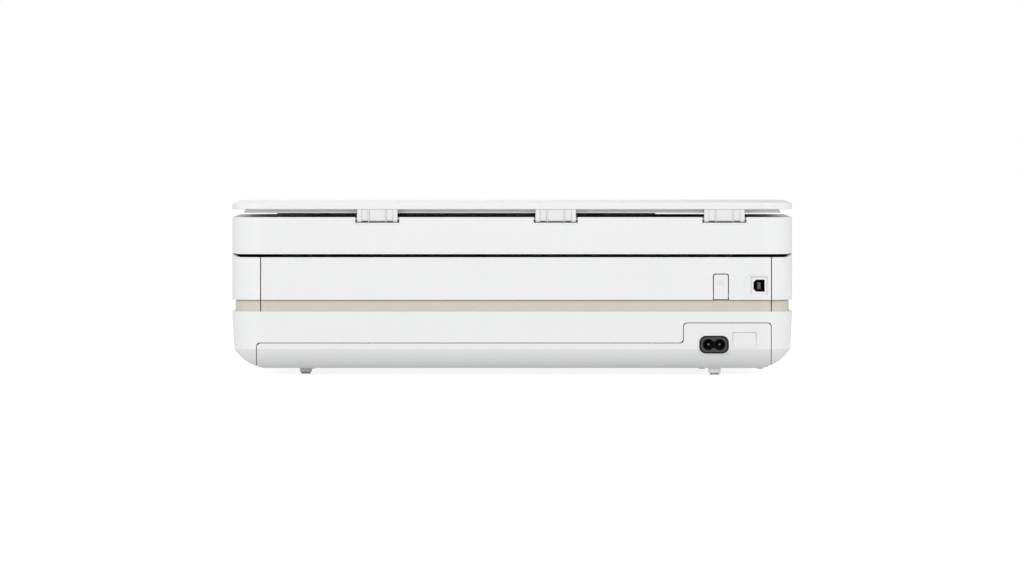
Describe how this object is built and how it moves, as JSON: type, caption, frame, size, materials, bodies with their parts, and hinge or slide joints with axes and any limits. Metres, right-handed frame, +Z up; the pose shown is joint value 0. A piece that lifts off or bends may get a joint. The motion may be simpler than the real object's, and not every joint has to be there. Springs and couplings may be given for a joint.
{
  "type": "inkjet printer",
  "caption": "Compact flat all-in-one inkjet printer with a flatbed scanner on top, a front paper tray, a beige band and rear power, data and button.",
  "frame": {"origin": "middle of the printer's outline on the surface it stands on, at the underside of its rubber feet", "axes": "+Z up, -Y towards the front where the tray and the sheets come out, +Y towards the rear with the power inlet, +X to the right as seen from the front"},
  "size_m": [0.4326, 0.361, 0.1334],
  "materials": {
    "casing_white": "fine moulded texture",
    "accent_beige": "satin moulded",
    "black_plastic": "satin moulded",
    "dark_plastic": "fine moulded texture",
    "natural_plastic": "smooth, unpainted",
    "cartridge_black": "satin moulded",
    "cartridge_grey": "satin moulded",
    "pad_white": "soft film over foam",
    "board_green": "solder mask",
    "rubber": "matt",
    "steel": "ground",
    "plated_steel": "zinc plated sheet",
    "glass": "polished",
    "key_grey": "satin moulded"
  },
  "bodies": {
    "base": {"bottom_pan": "casing_white", "lower_housing": "casing_white", "accent_band": "accent_beige", "rear_panel": "casing_white", "upper_housing": "casing_white", "rubber_feet": "rubber", "base_screws": "steel", "inner_deck": "dark_plastic", "output_frame": "dark_plastic", "output_deck": "casing_white", "control_panel": "dark_plastic", "power_inlet": "black_plastic", "power_supply": "black_plastic", "usb_port": "plated_steel", "main_board": "board_green", "engine_side_plates": "plated_steel", "carriage_rails": "plated_steel", "carriage_belt": "rubber", "drive_motors": "plated_steel", "platen": "black_plastic", "rear_paper_guide": "dark_plastic", "scanner_hinge_brackets": "plated_steel"},
    "power_button": {"power_button": "key_grey"},
    "copy_key": {"copy_key": "key_grey"},
    "cancel_key": {"cancel_key": "key_grey"},
    "belt_drive_pulley": {"belt_drive_pulley": "natural_plastic"},
    "belt_idler_pulley": {"belt_idler_pulley": "natural_plastic"},
    "feed_roller": {"feed_roller": "steel"},
    "exit_roller": {"exit_roller": "steel"},
    "idler_gear": {"idler_gear": "natural_plastic"},
    "feed_motor_pinion": {"feed_motor_pinion": "natural_plastic"},
    "turn_idler_gear": {"turn_idler_gear": "natural_plastic"},
    "turn_roller": {"turn_roller": "steel"},
    "pinch_rollers": {"pinch_rollers": "steel"},
    "star_wheels": {"star_wheels": "steel"},
    "pick_arm": {"pick_arm": "black_plastic"},
    "pick_roller": {"pick_roller": "rubber"},
    "carriage": {"carriage": "black_plastic", "black_cartridge": "cartridge_black", "colour_cartridge": "cartridge_grey"},
    "cartridge_latch_left": {"cartridge_latch_left": "dark_plastic"},
    "cartridge_latch_right": {"cartridge_latch_right": "dark_plastic"},
    "service_sled": {"service_sled": "dark_plastic"},
    "paper_tray": {"tray_body": "dark_plastic", "tray_front": "casing_white"},
    "paper_guide_left": {"paper_guide_left": "key_grey"},
    "paper_guide_right": {"paper_guide_right": "key_grey"},
    "guide_pinion": {"guide_pinion": "natural_plastic"},
    "output_extender": {"output_extender": "casing_white"},
    "paper_stop": {"paper_stop": "key_grey"},
    "scanner": {"scanner_case": "casing_white", "scanner_tub": "dark_plastic", "scanner_glass": "glass", "scan_rod": "steel", "lid_hinge_pins": "steel"},
    "scan_bar": {"scan_bar": "black_plastic"},
    "lid": {"lid_cover": "casing_white", "lid_frame": "casing_white", "lid_pad": "pad_white", "lid_hinges": "casing_white"}
  },
  "joints": [
    {"name": "power_button_press", "type": "slide", "parent": "base", "child": "power_button", "axis": [0, -1, 0], "range_m": [0, 0.0008], "stiffness_N_per_m": 400},
    {"name": "copy_key_press", "type": "slide", "parent": "base", "child": "copy_key", "axis": [0, 1, 0], "range_m": [0, 0.0006], "stiffness_N_per_m": 400},
    {"name": "cancel_key_press", "type": "slide", "parent": "base", "child": "cancel_key", "axis": [0, 1, 0], "range_m": [0, 0.0006], "stiffness_N_per_m": 400},
    {"name": "scanner_hinge", "type": "hinge", "parent": "base", "child": "scanner", "pos_m": [0, 0.1755, 0.0974], "axis": [-1, 0, 0], "range_deg": [0, 38]},
    {"name": "lid_hinge", "type": "hinge", "parent": "scanner", "child": "lid", "pos_m": [0, 0.1777, 0.1207], "axis": [-1, 0, 0], "range_deg": [0, 85]},
    {"name": "scan_bar_slide", "type": "slide", "parent": "scanner", "child": "scan_bar", "axis": [-1, 0, 0], "range_m": [0, 0.272]},
    {"name": "carriage_slide", "type": "slide", "parent": "base", "child": "carriage", "axis": [-1, 0, 0], "range_m": [0, 0.276]},
    {"name": "belt_drive_spin", "type": "hinge", "parent": "base", "child": "belt_drive_pulley", "pos_m": [-0.16, 0, 0.08], "axis": [0, 1, 0], "range_deg": [0, 2880]},
    {"name": "belt_idler_spin", "type": "hinge", "parent": "base", "child": "belt_idler_pulley", "pos_m": [0.172, 0, 0.08], "axis": [0, 1, 0], "range_deg": [0, 2880]},
    {"name": "latch_left_hinge", "type": "hinge", "parent": "carriage", "child": "cartridge_latch_left", "pos_m": [0, -0.005, 0.0664], "axis": [1, 0, 0], "range_deg": [0, 55]},
    {"name": "latch_right_hinge", "type": "hinge", "parent": "carriage", "child": "cartridge_latch_right", "pos_m": [0, -0.005, 0.0664], "axis": [1, 0, 0], "range_deg": [0, 55]},
    {"name": "service_sled_slide", "type": "slide", "parent": "base", "child": "service_sled", "axis": [0, -1, 0], "range_m": [0, 0.008]},
    {"name": "feed_roller_spin", "type": "hinge", "parent": "base", "child": "feed_roller", "pos_m": [0, 0.038, 0.05], "axis": [1, 0, 0], "continuous": true},
    {"name": "exit_roller_spin", "type": "hinge", "parent": "base", "child": "exit_roller", "pos_m": [0, -0.022, 0.05], "axis": [1, 0, 0], "continuous": true},
    {"name": "idler_gear_spin", "type": "hinge", "parent": "base", "child": "idler_gear", "pos_m": [0, 0.008, 0.05], "axis": [1, 0, 0], "continuous": true},
    {"name": "feed_motor_spin", "type": "hinge", "parent": "base", "child": "feed_motor_pinion", "pos_m": [0, 0.0235, 0.02489], "axis": [1, 0, 0], "continuous": true},
    {"name": "turn_idler_spin", "type": "hinge", "parent": "base", "child": "turn_idler_gear", "pos_m": [0, 0.08073, 0.04518], "axis": [1, 0, 0], "continuous": true},
    {"name": "turn_roller_spin", "type": "hinge", "parent": "base", "child": "turn_roller", "pos_m": [0, 0.13985, 0.0385], "axis": [1, 0, 0], "continuous": true},
    {"name": "pinch_rollers_spin", "type": "hinge", "parent": "base", "child": "pinch_rollers", "pos_m": [0, 0.038, 0.0592], "axis": [1, 0, 0], "continuous": true},
    {"name": "star_wheels_spin", "type": "hinge", "parent": "base", "child": "star_wheels", "pos_m": [0, -0.022, 0.0602], "axis": [1, 0, 0], "continuous": true},
    {"name": "pick_arm_swing", "type": "hinge", "parent": "base", "child": "pick_arm", "pos_m": [0, 0.13985, 0.0385], "axis": [-1, 0, 0], "range_deg": [0, 20]},
    {"name": "pick_roller_spin", "type": "hinge", "parent": "pick_arm", "child": "pick_roller", "pos_m": [0, 0.09856, 0.0233], "axis": [1, 0, 0], "continuous": true},
    {"name": "paper_tray_slide", "type": "slide", "parent": "base", "child": "paper_tray", "axis": [0, -1, 0], "range_m": [0, 0.24]},
    {"name": "paper_guide_left_slide", "type": "slide", "parent": "paper_tray", "child": "paper_guide_left", "axis": [1, 0, 0], "range_m": [0, 0.054]},
    {"name": "paper_guide_right_slide", "type": "slide", "parent": "paper_tray", "child": "paper_guide_right", "axis": [-1, 0, 0], "range_m": [0, 0.054]},
    {"name": "guide_pinion_spin", "type": "hinge", "parent": "paper_tray", "child": "guide_pinion", "pos_m": [0, -0.02, 0.01], "axis": [0, 0, 1], "range_deg": [0, 400]},
    {"name": "output_extender_slide", "type": "slide", "parent": "base", "child": "output_extender", "axis": [0, -1, 0], "range_m": [0, 0.1]},
    {"name": "paper_stop_hinge", "type": "hinge", "parent": "output_extender", "child": "paper_stop", "pos_m": [0, -0.1761, 0.0475], "axis": [1, 0, 0], "range_deg": [0, 85]}
  ],
  "couplings": [
    {"joint": "exit_roller_spin", "follows": "feed_roller_spin", "ratio": 1},
    {"joint": "idler_gear_spin", "follows": "feed_roller_spin", "ratio": -2},
    {"joint": "feed_motor_spin", "follows": "feed_roller_spin", "ratio": -2.2222},
    {"joint": "turn_idler_spin", "follows": "feed_roller_spin", "ratio": -0.26471},
    {"joint": "turn_roller_spin", "follows": "feed_roller_spin", "ratio": 0.35294},
    {"joint": "pinch_rollers_spin", "follows": "feed_roller_spin", "ratio": -2},
    {"joint": "star_wheels_spin", "follows": "feed_roller_spin", "ratio": -1.5},
    {"joint": "pick_roller_spin", "follows": "feed_roller_spin", "ratio": 0.66667},
    {"joint": "belt_drive_spin", "follows": "carriage_slide", "rad_per_m": 180},
    {"joint": "belt_idler_spin", "follows": "carriage_slide", "rad_per_m": 180},
    {"joint": "paper_guide_right_slide", "follows": "paper_guide_left_slide", "ratio": 1},
    {"joint": "guide_pinion_spin", "follows": "paper_guide_left_slide", "rad_per_m": 125}
  ]
}
